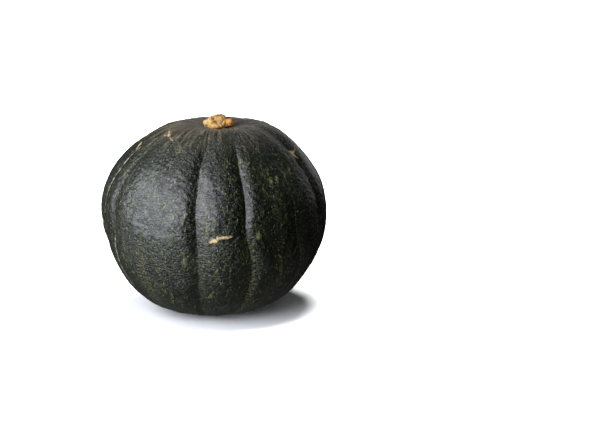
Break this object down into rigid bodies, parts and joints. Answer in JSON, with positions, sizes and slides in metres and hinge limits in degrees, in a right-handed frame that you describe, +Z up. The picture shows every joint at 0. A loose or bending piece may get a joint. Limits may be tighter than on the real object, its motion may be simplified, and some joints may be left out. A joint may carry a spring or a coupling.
{
  "type": "kabocha squash",
  "caption": "Whole kabocha winter squash: a squat, softly ribbed dark green fruit that stands upright, with a short corky cut stem in the hollow of its crown.",
  "frame": {"origin": "on the ground under the middle of the fruit: the centre of the bottom face of its bounding box", "axes": "+Z is up along the fruit's core, from the blossom end to the stem; the front of the fruit faces -Y and its right side +X"},
  "size_m": [0.1788, 0.1788, 0.1558],
  "materials": {
    "rind": null,
    "stem_cork": "dry, matt, rough cork-like stem tissue"
  },
  "bodies": {
    "root": {"fruit": "rind", "stem": "stem_cork"}
  },
  "joints": []
}
